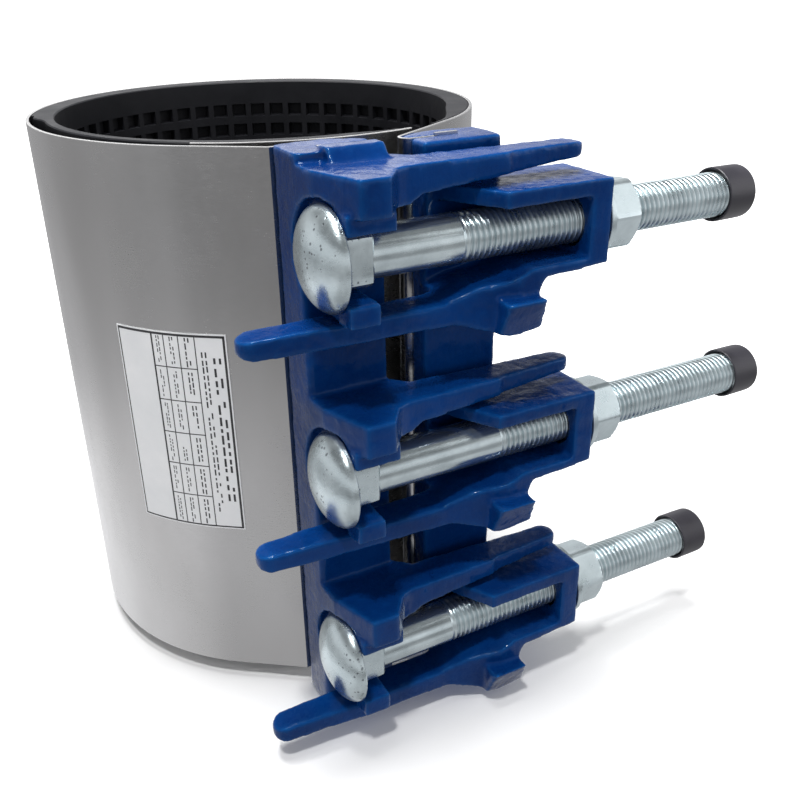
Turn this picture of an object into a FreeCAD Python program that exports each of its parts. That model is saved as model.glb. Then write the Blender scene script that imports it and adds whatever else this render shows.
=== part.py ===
import FreeCAD, Part
import math
import os
from FreeCAD import Vector

# Pipe repair clamp, three bolts, in millimetres.
# The origin is on the pipe's axis at half the clamp's width. +Z runs along the pipe, +X along the
# bolts from head to nut, and the two jaws stand on the -Y side of the band.

# ---- driving dimensions ----
BAND_WIDTH = 200.0
BAND_OUTER_RADIUS = 82.0
BAND_THICKNESS = 1.2
GASKET_INNER_RADIUS = 72.4    # bore that closes on the pipe
TONGUE_THICKNESS = 4.05
PLATE_THICKNESS = 1.2

STATION_PITCH = 73.0          # between neighbouring bolts
STATIONS = {"top": STATION_PITCH, "middle": 0.0, "bottom": -STATION_PITCH}
BOLT_Y = -112.0               # bolt axes, all parallel to X
THREAD_SIZE = 16.0            # M16, 2 mm pitch
BOLT_LENGTH = {"top": 158.0, "middle": 175.0, "bottom": 160.5}   # under the head

GAP_CENTRE = 9.25             # x of the middle of the gap between the jaws
HALF_GAP = 4.75               # from there to the outside of each band fold
JAW_REACH = {-1: 34.75, 1: 35.75}   # from the gap's centre to each jaw's outer end
JAW_FRONT = -101.0            # front face of the two jaw bars
JAW_BACK = -82.5              # face that the band lies on
HEAD_FACE = -21.3             # plane that the bolt heads pull on
END_PLATE_FACE = 70.5         # plane that the washers pull on

# ---- fits and small sizes ----
SKIN_GAP = 0.05               # between layers that lie on each other
NOSE_RADIUS = 2.2             # rounded nose that the band folds around
NOSE_Y = -89.0
SLOT_WIDTH = 1.5
SLOT_END = 24.0               # from the gap's centre
KEY_LENGTH = 8.1              # strip that closes each slot behind the folded end
LIP_START = 7.0               # front lip of a jaw, from the gap's centre
HEAD_JAW_BOTTOM = -107.0
HEAD_JAW_TOP = 100.8
SHANK_RADIUS = THREAD_SIZE / 2.0 - 0.15
NUT_BORE_RADIUS = SHANK_RADIUS + 0.06
HEAD_RADIUS = 16.0
HEAD_HEIGHT = 8.8
NECK_LENGTH = 10.8
NUT_ACROSS_FLATS = 22.0
NUT_HEIGHT = 12.0
NUT_CLOCKING = {"top": -6.0, "middle": -7.0, "bottom": -12.5}       # degrees about the bolt
WASHER_RADIUS = 13.8
WASHER_THICKNESS = 2.0
CAP_LENGTH = 12.5
CAP_RADIUS = 9.5
CAP_END_WALL = 2.0
HOLE_RADIUS = 8.8             # bolt hole in the end plate

HALF = BAND_WIDTH / 2.0
TOTAL_BAND_RADIUS = BAND_OUTER_RADIUS - BAND_THICKNESS / 2.0     # middle of the sheet
NOSE_OFFSET = HALF_GAP + BAND_THICKNESS + SKIN_GAP + NOSE_RADIUS
UP = Vector(0, 0, 1)


def polar(radius, degrees):
    angle = math.radians(degrees)
    return Vector(radius * math.cos(angle), radius * math.sin(angle), 0)


def extrude(wire_or_face, z_low, z_high):
    """A flat closed outline at z = 0 made into a solid between two heights."""
    face = wire_or_face
    if face.ShapeType == "Wire":
        face = Part.Face(wire_or_face)
    solid = face.extrude(Vector(0, 0, z_high - z_low))
    solid.translate(Vector(0, 0, z_low))
    return solid


def polygon(points, z_low, z_high):
    corners = [Vector(x, y, 0) for x, y in points]
    return extrude(Part.makePolygon(corners + corners[:1]), z_low, z_high)


def side_profile(points, y_front, y_back):
    """A closed outline of (x, z) points swept from y_front back to y_back."""
    corners = [Vector(x, y_front, z) for x, z in points]
    face = Part.Face(Part.makePolygon(corners + corners[:1]))
    return face.extrude(Vector(0, y_back - y_front, 0))


def end_profile(points, x_low, x_high):
    """A closed outline of (y, z) points swept along X."""
    corners = [Vector(x_low, y, z) for y, z in points]
    face = Part.Face(Part.makePolygon(corners + corners[:1]))
    return face.extrude(Vector(x_high - x_low, 0, 0))


def box(x_range, y_range, z_range):
    size = [high - low for low, high in (x_range, y_range, z_range)]
    return Part.makeBox(*size, Vector(x_range[0], y_range[0], z_range[0]))


def rod(radius, x_start, x_end, z=0.0):
    """A cylinder along X on a bolt axis."""
    base = Vector(x_start, BOLT_Y, z)
    return Part.makeCylinder(radius, x_end - x_start, base, Vector(1, 0, 0))


def round_edges(solid, radius, wanted):
    """Fillet the straight edges for which wanted(middle point, direction) is true."""
    chosen = []
    for edge in solid.Edges:
        if not isinstance(edge.Curve, Part.Line):
            continue
        middle = edge.valueAt((edge.FirstParameter + edge.LastParameter) / 2.0)
        if wanted(middle, edge.Curve.Direction):
            chosen.append(edge)
    return solid.makeFillet(radius, chosen)


def save(name, shape):
    solid = shape.removeSplitter()
    solid.exportStep(os.path.join("parts", name + ".step"))
    print(name, round(solid.Volume / 1000.0, 2), "cm3", len(solid.Solids), "solid", solid.isValid())


# ---- band: one stainless sheet, with both ends folded back around the jaw bars ----

def tangent_touch(point, centre, radius, sign):
    """Where the line from a point touches a circle, on one side of it."""
    reach = point.sub(centre)
    heading = math.atan2(reach.y, reach.x)
    swing = math.acos(radius / reach.Length)
    angle = heading + sign * swing
    return centre.add(Vector(radius * math.cos(angle), radius * math.sin(angle), 0))


def nose_centre(side):
    """Centre of a jaw's nose. side is -1 for the head jaw and +1 for the nut jaw."""
    return Vector(GAP_CENTRE + side * NOSE_OFFSET, NOSE_Y, 0)


BEND_OFFSET = 15.0            # where the back of a jaw bar turns towards its nose
FOLD_RADIUS = NOSE_RADIUS + SKIN_GAP + BAND_THICKNESS / 2.0
HEAD_LEAVE = -126.0           # angle where the band leaves the circle for the head jaw


def nut_leave_angle():
    """Angle where the band leaves the circle, on the straight line to the nut jaw's nose."""
    centre = nose_centre(1)
    swing = math.acos((TOTAL_BAND_RADIUS + FOLD_RADIUS) / centre.Length)
    return math.degrees(math.atan2(centre.y, centre.x) + swing)


def band_centreline():
    lie = JAW_BACK + SKIN_GAP + BAND_THICKNESS / 2.0
    slot_y = NOSE_Y - FOLD_RADIUS
    head_nose = nose_centre(-1)
    nut_nose = nose_centre(1)
    slot_end = SLOT_END - KEY_LENGTH - 0.2

    leave = polar(TOTAL_BAND_RADIUS, HEAD_LEAVE)
    along = polar(1.0, HEAD_LEAVE + 90.0)
    corner = leave.add(along * ((lie - leave.y) / along.y))
    bar_bend = Vector(GAP_CENTRE - BEND_OFFSET, JAW_BACK, 0)
    bar_run = tangent_touch(bar_bend, head_nose, NOSE_RADIUS, -1).sub(bar_bend)
    slope = abs(math.atan2(bar_run.y, bar_run.x))
    bend = Vector(bar_bend.x + (lie - JAW_BACK) * math.tan(slope / 2.0), lie, 0)
    touch = tangent_touch(bend, head_nose, FOLD_RADIUS, -1)
    head_tip = head_nose.add(Vector(FOLD_RADIUS, 0, 0))
    head_turn = head_nose.add(Vector(0, -FOLD_RADIUS, 0))
    head_end = Vector(GAP_CENTRE - slot_end, slot_y, 0)

    nut_leave = nut_leave_angle()
    nut_touch = nut_nose.add(polar(FOLD_RADIUS, nut_leave + 180.0))
    nut_tip = nut_nose.add(Vector(-FOLD_RADIUS, 0, 0))
    nut_turn = nut_nose.add(Vector(0, -FOLD_RADIUS, 0))
    nut_end = Vector(GAP_CENTRE + slot_end, slot_y, 0)

    far_side = polar(TOTAL_BAND_RADIUS, 90.0)
    edges = [
        Part.makeLine(head_end, head_turn),
        Part.Arc(head_turn, head_tip, touch).toShape(),
        Part.makeLine(touch, bend),
        Part.makeLine(bend, corner),
        Part.makeLine(corner, leave),
        Part.Arc(leave, far_side, polar(TOTAL_BAND_RADIUS, nut_leave)).toShape(),
        Part.makeLine(polar(TOTAL_BAND_RADIUS, nut_leave), nut_touch),
        Part.Arc(nut_touch, nut_tip, nut_turn).toShape(),
        Part.makeLine(nut_turn, nut_end),
    ]
    return Part.Wire(edges)


def make_band():
    """The centreline thickened to both sides and raised to the band's width."""
    centreline = band_centreline()
    halves = []
    for side in (-1, 1):
        strip = centreline.makeOffset2D(side * BAND_THICKNESS / 2.0, 0, True, True)
        halves.append(extrude(strip, -HALF, HALF))
    return halves[0].fuse(halves[1]).removeSplitter()


# ---- bridge plate and gasket ----

PLATE_START = -125.0          # angles of the plate's two ends
PLATE_END = -71.0
PLATE_START_RADIUS = 76.6     # the plate is flatter than the pipe, so its radius grows
PLATE_END_RADIUS = 79.6


def plate_radius(degrees):
    """Radius of the middle of the bridge plate."""
    share = (degrees - PLATE_START) / (PLATE_END - PLATE_START)
    share = min(max(share, 0.0), 1.0)
    return PLATE_START_RADIUS + (PLATE_END_RADIUS - PLATE_START_RADIUS) * share ** 1.6


def spline(radius_at, start, end, steps):
    points = []
    for step in range(steps + 1):
        degrees = start + (end - start) * step / steps
        points.append(polar(radius_at(degrees), degrees))
    curve = Part.BSplineCurve()
    curve.interpolate(points)
    return curve.toShape()


def ring_layer(outer_at, inner_at, start, end, steps):
    """A layer of the ring between two radius functions of the angle."""
    outer = spline(outer_at, start, end, steps)
    inner = spline(inner_at, start, end, steps)
    first = Part.makeLine(polar(outer_at(start), start), polar(inner_at(start), start))
    last = Part.makeLine(polar(outer_at(end), end), polar(inner_at(end), end))
    wire = Part.Wire(Part.__sortEdges__([outer, last, inner, first]))
    return extrude(wire, -HALF, HALF)


def make_bridge_plate():
    half = PLATE_THICKNESS / 2.0
    return ring_layer(
        lambda a: plate_radius(a) + half,
        lambda a: plate_radius(a) - half,
        PLATE_START, PLATE_END, 12)


BORE_STOCK = 0.5              # left inside the bore, then cut away to a true cylinder
GASKET_OUTER_RADIUS = BAND_OUTER_RADIUS - BAND_THICKNESS - SKIN_GAP
RIGHT_TIP = -64.0             # thin end that lies on the band
RIGHT_FULL = -34.0            # where the gasket reaches its full thickness
SPLIT = 168.0                 # where the thick part ends and the loose tongue begins
TONGUE_FULL = 192.0
TONGUE_TIP = 286.0


def smooth(value, low, high):
    share = min(max((value - low) / (high - low), 0.0), 1.0)
    return share * share * (3.0 - 2.0 * share)


def body_inner(degrees):
    """Inner face of the thick part, which thins out towards its end beside the nut jaw."""
    taper = 1.0 - smooth(degrees, RIGHT_TIP, RIGHT_FULL)
    stock = GASKET_INNER_RADIUS - BORE_STOCK
    return stock + (GASKET_OUTER_RADIUS - 0.8 - stock) * taper


def tongue_outer(degrees):
    """Outer face of the tongue, which follows the inside of the bridge plate."""
    below = plate_radius(degrees - 360.0) - PLATE_THICKNESS / 2.0 - SKIN_GAP
    start = GASKET_OUTER_RADIUS - 1.0
    fall = smooth(degrees, SPLIT, SPLIT + 8.0)
    return start + (below - start) * fall


def tongue_inner(degrees):
    drop = smooth(degrees, SPLIT - 10.0, TONGUE_FULL)
    below = plate_radius(degrees - 360.0) - PLATE_THICKNESS / 2.0 - SKIN_GAP
    thin_end = smooth(degrees, TONGUE_TIP - 14.0, TONGUE_TIP)
    thickness = TONGUE_THICKNESS - (TONGUE_THICKNESS - 1.2) * thin_end
    stock = GASKET_INNER_RADIUS - BORE_STOCK
    return stock + (below - thickness - stock) * drop


def make_gasket():
    body = ring_layer(lambda a: GASKET_OUTER_RADIUS, body_inner, RIGHT_TIP, SPLIT + 2.0, 60)
    tongue = ring_layer(tongue_outer, tongue_inner, SPLIT - 8.0, TONGUE_TIP, 64)
    bore = Part.makeCylinder(GASKET_INNER_RADIUS, 2.0 * BAND_WIDTH, Vector(0, 0, -BAND_WIDTH))
    return body.fuse(tongue).cut(bore)


# ---- jaws: ductile-iron castings ----

def jaw_bar(side, z_low, z_high):
    """The upright bar of a jaw, with the rounded nose and the slot that hold the band's end."""
    def at(offset, y):
        return Vector(GAP_CENTRE + side * offset, y, 0)

    nose = nose_centre(side)
    bend = at(BEND_OFFSET, JAW_BACK)
    touch = tangent_touch(bend, nose, NOSE_RADIUS, side)
    tip = nose.add(Vector(-side * NOSE_RADIUS, 0, 0))
    slot_back = NOSE_Y - NOSE_RADIUS
    slot_front = slot_back - SLOT_WIDTH
    corners = [
        nose.add(Vector(0, -NOSE_RADIUS, 0)),
        at(SLOT_END, slot_back),
        at(SLOT_END, slot_front),
        at(LIP_START, slot_front),
        at(LIP_START, JAW_FRONT),
        at(JAW_REACH[side], JAW_FRONT),
        at(JAW_REACH[side], JAW_BACK),
        bend,
        touch,
    ]
    edges = [Part.makeLine(a, b) for a, b in zip(corners, corners[1:])]
    edges.append(Part.Arc(touch, tip, corners[0]).toShape())
    bar = extrude(Part.Wire(edges), z_low, z_high)
    outer_x = GAP_CENTRE + side * JAW_REACH[side]

    def is_outer_corner(middle, direction):
        return abs(direction.z) > 0.9 and abs(middle.x - outer_x) < 0.1

    return round_edges(bar, 2.5, is_outer_corner)


# Heights below are measured from the bolt's axis at each station.
SHELF_TOP = 25.0
SHELF_BOTTOM = 16.2
FINGER_TIP_X = 66.5
FINGER_BACK = -105.5
FINGER_FRONT = -117.0
PROW_Y = -128.5
HOOK_BOTTOM = 8.8
LIP_TOP = -11.0
LIP_BOTTOM = -17.8
JAW_LEFT = GAP_CENTRE - JAW_REACH[-1]
PROW_BOTTOM = 13.7


def head_jaw_station():
    """Shelf with its long finger, the hook over the bolt's neck, and the lip under it."""
    shelf_outline = [
        (JAW_LEFT, JAW_FRONT + 3.0),
        (JAW_LEFT + 0.5, -109.0),
        (-18.5, PROW_Y),
        (-9.0, PROW_Y),
        (-3.0, -120.0),
        (1.0, -118.5),
        (36.0, -118.0),
        (36.5, FINGER_FRONT),
        (FINGER_TIP_X - 4.0, -115.5),
        (FINGER_TIP_X - 4.0, FINGER_BACK - 1.5),
        (8.75, -104.5),
        (GAP_CENTRE - LIP_START, JAW_FRONT + 3.0),
    ]
    shelf = polygon(shelf_outline, SHELF_BOTTOM - 8.0, SHELF_TOP)
    tip_radius = (-FINGER_BACK + 1.5 - 115.5) / -2.0
    tip_centre = Vector(FINGER_TIP_X - 4.0, (FINGER_BACK - 1.5 - 115.5) / 2.0, SHELF_BOTTOM - 8.0)
    tip = Part.makeCylinder(abs(tip_radius), SHELF_TOP - SHELF_BOTTOM + 8.0, tip_centre, UP)
    silhouette = side_profile([
        (JAW_LEFT - 1.0, SHELF_TOP),
        (JAW_LEFT - 1.0, PROW_BOTTOM),
        (2.0, PROW_BOTTOM),
        (6.0, SHELF_BOTTOM),
        (FINGER_TIP_X - 10.0, SHELF_BOTTOM + 3.4),
        (FINGER_TIP_X + 2.0, SHELF_BOTTOM + 4.2),
        (FINGER_TIP_X + 2.0, SHELF_TOP - 0.8),
        (FINGER_TIP_X - 3.0, SHELF_TOP),
    ], PROW_Y - 5.0, JAW_FRONT + 4.0)
    shelf = shelf.fuse(tip).common(silhouette)
    hook = box((HEAD_FACE, -5.5), (-125.0, JAW_FRONT + 1.0), (HOOK_BOTTOM, PROW_BOTTOM + 1.0))
    lip = polygon([
        (HEAD_FACE, JAW_FRONT + 1.0),
        (HEAD_FACE, -117.0),
        (HEAD_FACE - 1.0, -118.5),
        (HEAD_FACE, -125.5),
        (-11.3, -125.5),
        (-11.3, JAW_FRONT + 1.0),
    ], LIP_BOTTOM, LIP_TOP)
    return shelf.fuse(hook).fuse(lip)


def make_head_jaw():
    jaw = jaw_bar(-1, HEAD_JAW_BOTTOM, HEAD_JAW_TOP)
    ridge = end_profile([
        (-95.5, HEAD_JAW_TOP - 1.0),
        (-98.0, HEAD_JAW_TOP + 1.5),
        (-103.5, HEAD_JAW_TOP + 1.5),
        (-107.5, HEAD_JAW_TOP - 3.0),
        (-107.5, HEAD_JAW_TOP - 4.5),
        (-95.5, HEAD_JAW_TOP - 4.5),
    ], -17.0, 2.0)
    jaw = jaw.fuse(ridge)
    for height in STATIONS.values():
        station = head_jaw_station()
        station.translate(Vector(0, 0, height))
        jaw = jaw.fuse(station)
    for height in STATIONS.values():
        socket = rod(HEAD_RADIUS + 1.4, JAW_LEFT - 8.0, HEAD_FACE, height)
        jaw = jaw.cut(socket)
        opening = box(
            (JAW_LEFT - 8.0, HEAD_FACE),
            (-140.0, BOLT_Y),
            (height - HEAD_RADIUS - 1.4, height + 11.0))
        jaw = jaw.cut(opening)
    return jaw


BOX_TOP = 15.2
BOX_CEILING = 9.9
BOX_FLOOR = -9.4
BOX_BOTTOM = -12.3
BOX_FRONT = -125.5
BOX_BACK = -99.0
NOSE_TIP_X = -51.0
LOWER_FINGER_TOP = -19.0
LOWER_FINGER_BOTTOM = -25.5


def lower_arm():
    """The box's floor and the long finger under the bolt head, cut from one side profile."""
    side_view = side_profile([
        (NOSE_TIP_X, LOWER_FINGER_TOP - 0.8),
        (NOSE_TIP_X + 4.0, LOWER_FINGER_TOP),
        (14.0, LOWER_FINGER_TOP + 0.6),
        (24.0, -14.2),
        (34.0, -12.6),
        (42.0, BOX_FLOOR),
        (END_PLATE_FACE, BOX_FLOOR),
        (END_PLATE_FACE, BOX_BOTTOM),
        (46.0, BOX_BOTTOM - 1.2),
        (44.0, -18.0),
        (45.5, -29.3),
        (34.5, -30.8),
        (18.0, LOWER_FINGER_BOTTOM - 0.6),
        (NOSE_TIP_X + 3.0, LOWER_FINGER_BOTTOM),
        (NOSE_TIP_X, LOWER_FINGER_BOTTOM + 1.2),
    ], BOX_FRONT - 6.0, BOX_BACK + 1.0)
    plan_outline = [
        (NOSE_TIP_X + 4.5, -106.3),
        (GAP_CENTRE + LIP_START, -105.0),
        (GAP_CENTRE + LIP_START, BOX_BACK),
        (END_PLATE_FACE, BOX_BACK),
        (END_PLATE_FACE, BOX_FRONT),
        (36.0, BOX_FRONT),
        (16.0, -118.5),
        (-20.0, -117.6),
        (NOSE_TIP_X + 4.5, -115.9),
    ]
    plan_view = polygon(plan_outline, -40.0, 0.0)
    tip_radius = (115.9 - 106.3) / 2.0
    tip_centre = Vector(NOSE_TIP_X + tip_radius, -(115.9 + 106.3) / 2.0, -40.0)
    tip = Part.makeCylinder(tip_radius, 40.0, tip_centre, UP)
    return side_view.common(plan_view.fuse(tip))


def nut_jaw_station():
    """A box open at the front, with the end plate that the washer and nut pull on."""
    roof = polygon([
        (GAP_CENTRE + LIP_START, BOX_BACK),
        (20.0, -106.0),
        (30.8, BOX_FRONT),
        (END_PLATE_FACE, BOX_FRONT),
        (END_PLATE_FACE, BOX_BACK),
    ], BOX_CEILING, BOX_TOP)
    end_plate = box((62.5, END_PLATE_FACE), (BOX_FRONT, BOX_BACK), (BOX_BOTTOM, BOX_TOP))
    back_wall = box((GAP_CENTRE + LIP_START, 64.0), (JAW_FRONT - 1.5, BOX_BACK),
                    (BOX_BOTTOM, BOX_TOP - 1.0))
    shape = roof.fuse(end_plate).fuse(back_wall).fuse(lower_arm())
    ear_front = side_profile([
        (29.5, -18.0), (43.4, -18.0), (45.4, -29.3), (34.5, -30.8), (29.0, -29.2),
    ], -132.0, -118.0)
    ear_slope = end_profile([
        (-118.0, -17.0), (-131.0, -17.0), (-131.0, -18.0), (-125.0, -31.0), (-118.0, -31.0),
    ], 28.0, 47.0)
    return shape.fuse(ear_front.common(ear_slope))


def make_nut_jaw():
    jaw = jaw_bar(1, -HALF, HALF)
    for height in STATIONS.values():
        station = nut_jaw_station()
        station.translate(Vector(0, 0, height))
        jaw = jaw.fuse(station)
    for height in STATIONS.values():
        jaw = jaw.cut(rod(HOLE_RADIUS, 55.0, END_PLATE_FACE + 5.0, height))
    return jaw


# ---- strips that lock the band's folded ends in the slots ----

def make_fold_key(side):
    low = GAP_CENTRE + side * (SLOT_END - SKIN_GAP - KEY_LENGTH)
    high = GAP_CENTRE + side * (SLOT_END - SKIN_GAP)
    y_back = NOSE_Y - NOSE_RADIUS - SKIN_GAP
    return box(tuple(sorted((low, high))), (y_back - SLOT_WIDTH + 0.1, y_back), (-HALF, HEAD_JAW_TOP))


# ---- bolts, washers, nuts and caps ----

def make_bolt(station):
    """Round-head square-neck bolt. The threaded length is a plain cylinder of the thread's outside size."""
    height = STATIONS[station]
    rim = 1.2
    crown = HEAD_HEIGHT - rim
    ball_radius = (HEAD_RADIUS ** 2 + crown ** 2) / (2.0 * crown)
    ball_centre = Vector(HEAD_FACE - rim - crown + ball_radius, BOLT_Y, height)
    ball = Part.makeSphere(ball_radius, ball_centre)
    head = ball.common(rod(HEAD_RADIUS, HEAD_FACE - HEAD_HEIGHT, HEAD_FACE - rim, height))
    head = head.fuse(rod(HEAD_RADIUS, HEAD_FACE - rim, HEAD_FACE, height))
    half = THREAD_SIZE / 2.0
    neck = box(
        (HEAD_FACE - 1.0, HEAD_FACE + NECK_LENGTH),
        (BOLT_Y - half, BOLT_Y + half),
        (height - half, height + half))
    end = HEAD_FACE + BOLT_LENGTH[station]
    shank = rod(SHANK_RADIUS, HEAD_FACE - 1.0, end - 1.5, height)
    tip = Part.makeCone(SHANK_RADIUS, SHANK_RADIUS - 1.4, 1.5, Vector(end - 1.5, BOLT_Y, height),
                        Vector(1, 0, 0))
    return head.fuse(neck).fuse(shank).fuse(tip)


def make_washer(station):
    height = STATIONS[station]
    disc = rod(WASHER_RADIUS, END_PLATE_FACE, END_PLATE_FACE + WASHER_THICKNESS, height)
    return disc.cut(rod(SHANK_RADIUS + 0.5, END_PLATE_FACE - 1.0, END_PLATE_FACE + 5.0, height))


def make_nut(station):
    height = STATIONS[station]
    start = END_PLATE_FACE + WASHER_THICKNESS
    corner_radius = NUT_ACROSS_FLATS / math.sqrt(3.0)
    corners = []
    for index in range(6):
        angle = math.radians(60.0 * index + 180.0 + NUT_CLOCKING[station])
        y = BOLT_Y + corner_radius * math.cos(angle)
        corners.append(Vector(start, y, height + corner_radius * math.sin(angle)))
    face = Part.Face(Part.makePolygon(corners + corners[:1]))
    prism = face.extrude(Vector(NUT_HEIGHT, 0, 0))
    slope = corner_radius * 0.92
    axis = Vector(1, 0, 0)
    length = 40.0
    outer_cone = Part.makeCone(slope + length / math.tan(math.radians(30.0)), slope, length,
                               Vector(start + NUT_HEIGHT - length, BOLT_Y, height), axis)
    inner_cone = Part.makeCone(slope, slope + length / math.tan(math.radians(30.0)), length,
                               Vector(start, BOLT_Y, height), axis)
    nut = prism.common(outer_cone).common(inner_cone)
    return nut.cut(rod(NUT_BORE_RADIUS, start - 1.0, start + NUT_HEIGHT + 1.0, height))


def make_cap(station):
    height = STATIONS[station]
    bolt_end = HEAD_FACE + BOLT_LENGTH[station]
    closed_end = bolt_end + 0.1 + CAP_END_WALL
    outside = rod(CAP_RADIUS, closed_end - CAP_LENGTH, closed_end, height)
    far_edge = [e for e in outside.Edges
                if isinstance(e.Curve, Part.Circle) and e.Curve.Center.x > closed_end - 1.0]
    outside = outside.makeFillet(2.0, far_edge)
    bore = rod(SHANK_RADIUS + 0.06, closed_end - CAP_LENGTH - 1.0, bolt_end + 0.1, height)
    return outside.cut(bore)


# ---- data label stuck on the band ----

LABEL_START = -149.0          # angle of its left edge
LABEL_STRAIGHT = 8.2          # the rest lies on the straight run to the head jaw
LABEL_HEIGHTS = (-36.6, 39.5)
LABEL_THICKNESS = 0.25


def make_label():
    inner = BAND_OUTER_RADIUS + SKIN_GAP
    outer = inner + LABEL_THICKNESS
    middle = (LABEL_START + HEAD_LEAVE) / 2.0
    run = polar(LABEL_STRAIGHT, HEAD_LEAVE + 90.0)
    outer_end = polar(outer, HEAD_LEAVE).add(run)
    inner_end = polar(inner, HEAD_LEAVE).add(run)
    edges = [
        Part.Arc(polar(outer, LABEL_START), polar(outer, middle), polar(outer, HEAD_LEAVE)).toShape(),
        Part.makeLine(polar(outer, HEAD_LEAVE), outer_end),
        Part.makeLine(outer_end, inner_end),
        Part.makeLine(inner_end, polar(inner, HEAD_LEAVE)),
        Part.Arc(polar(inner, HEAD_LEAVE), polar(inner, middle), polar(inner, LABEL_START)).toShape(),
        Part.makeLine(polar(inner, LABEL_START), polar(outer, LABEL_START)),
    ]
    return extrude(Part.Wire(edges), *LABEL_HEIGHTS)


def main():
    os.makedirs("parts", exist_ok=True)
    save("band", make_band())
    save("gasket", make_gasket())
    save("bridge_plate", make_bridge_plate())
    save("head_jaw", make_head_jaw())
    save("nut_jaw", make_nut_jaw())
    save("head_fold_key", make_fold_key(-1))
    save("nut_fold_key", make_fold_key(1))
    for station in STATIONS:
        save("bolt_" + station, make_bolt(station))
        save("washer_" + station, make_washer(station))
        save("nut_" + station, make_nut(station))
        save("cap_" + station, make_cap(station))
    save("data_label", make_label())


main()
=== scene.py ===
import math
import random

import bmesh
import bpy
import numpy as np
from mathutils import Matrix, Vector


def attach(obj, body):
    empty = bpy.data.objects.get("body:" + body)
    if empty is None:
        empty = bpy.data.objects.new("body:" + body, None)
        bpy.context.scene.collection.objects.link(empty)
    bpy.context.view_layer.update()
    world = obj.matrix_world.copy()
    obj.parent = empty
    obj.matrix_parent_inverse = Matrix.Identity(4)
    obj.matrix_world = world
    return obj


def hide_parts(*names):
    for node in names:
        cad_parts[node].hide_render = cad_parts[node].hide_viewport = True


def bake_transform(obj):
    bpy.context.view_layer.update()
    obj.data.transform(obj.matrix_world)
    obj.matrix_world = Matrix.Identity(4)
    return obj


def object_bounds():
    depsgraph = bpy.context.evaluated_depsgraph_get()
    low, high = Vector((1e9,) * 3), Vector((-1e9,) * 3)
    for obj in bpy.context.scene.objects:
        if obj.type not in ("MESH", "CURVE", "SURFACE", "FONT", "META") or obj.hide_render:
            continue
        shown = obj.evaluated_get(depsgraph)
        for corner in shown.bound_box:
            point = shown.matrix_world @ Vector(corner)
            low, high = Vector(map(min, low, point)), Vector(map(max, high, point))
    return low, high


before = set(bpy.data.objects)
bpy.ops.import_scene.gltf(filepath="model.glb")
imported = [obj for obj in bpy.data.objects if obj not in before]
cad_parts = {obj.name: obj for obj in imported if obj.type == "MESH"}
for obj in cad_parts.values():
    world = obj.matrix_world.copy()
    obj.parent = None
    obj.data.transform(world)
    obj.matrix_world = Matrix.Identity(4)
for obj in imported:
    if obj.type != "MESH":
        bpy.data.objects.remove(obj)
cad_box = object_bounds()
MM = 0.001

# ---- dimensions shared with the CAD source, in millimetres ----
HALF = 100.0                  # half the width along the pipe
BAND_R = 81.4                 # middle of the band's sheet
BAND_T = 1.2
SKIN_GAP = 0.05               # between layers that lie on each other
GAP_X = 9.25                  # middle of the gap between the jaws
NOSE_Y = -89.0
NOSE_R = 2.2                  # rounded nose that the band folds around
FOLD_R = 2.85                 # middle of the sheet in that fold
NOSE_OFFSET = 8.2             # from the gap's middle to a nose's centre
JAW_BACK = -82.5              # face that the band lies on
BAR_BEND = 15.0               # from the gap's middle to where that face turns toward the nose
SLOT_END = 24.0               # from the gap's middle, and so is the next
FOLD_END = 15.7
BORE_R = 72.4                 # bore that closes on the pipe
GASKET_R = 80.75              # outside of the gasket
BOLT_Y = -112.0
STATIONS = {"top": 73.0, "middle": 0.0, "bottom": -73.0}
HEAD_FACE = -21.3             # plane that the bolt heads pull on
HEAD_R = 16.0
NECK_LENGTH = 10.8
BOLT_END = {"top": 136.7, "middle": 153.7, "bottom": 139.2}
THREAD_START = {"top": 19.5, "middle": 35.8, "bottom": 17.5}
PITCH = 2.0
THREAD_R = 7.85
END_PLATE = 70.5              # plane that the washers pull on
WASHER_R = 13.8
WASHER_HOLE_R = 8.5
WASHER_T = 2.0
NUT_FLATS = 22.0
NUT_HEIGHT = 12.0
CLOCK = {"top": -6.0, "middle": -7.0, "bottom": -12.5}    # degrees each nut is turned
CAP_LENGTH = 12.5
CAP_R = 9.5
CAP_BORE_R = 7.9
CAP_WALL = 2.0                # across the cap's closed end
CAP_AHEAD = 2.1               # from the bolt's end to the cap's outer end


# ---- mesh helpers ----

def new_object(name, verts, faces, sharp=35.0):
    """Points in millimetres become an object, shaded smooth but for edges over so many degrees."""
    mesh = bpy.data.meshes.new(name)
    mesh.from_pydata([tuple(float(c) * MM for c in v) for v in verts], [], faces)
    mesh.validate()
    shell = bmesh.new()
    shell.from_mesh(mesh)
    bmesh.ops.remove_doubles(shell, verts=shell.verts, dist=1e-6)
    bmesh.ops.recalc_face_normals(shell, faces=shell.faces)
    shell.to_mesh(mesh)
    shell.free()
    obj = bpy.data.objects.new(name, mesh)
    bpy.context.scene.collection.objects.link(obj)
    mesh.polygons.foreach_set("use_smooth", [True] * len(mesh.polygons))
    mesh.set_sharp_from_angle(angle=math.radians(sharp))
    mesh.update()
    # large faces keep their own direction beside the small rounded edges
    weigh = obj.modifiers.new("weigh", "WEIGHTED_NORMAL")
    weigh.keep_sharp = True
    return obj


def dress(obj, material):
    """Give a piece its one material."""
    obj.data.materials.clear()
    obj.data.materials.append(material)
    return obj


def join_rings(count, around, closed=False):
    """Faces between neighbouring rings of points. An open row of rings gets a face at each end."""
    faces = []
    for i in range(count if closed else count - 1):
        j = (i + 1) % count
        for k in range(around):
            k2 = (k + 1) % around
            faces.append((i * around + k, i * around + k2, j * around + k2, j * around + k))
    if not closed:
        faces.append(tuple(range(around))[::-1])
        faces.append(tuple((count - 1) * around + k for k in range(around)))
    return faces


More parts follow.
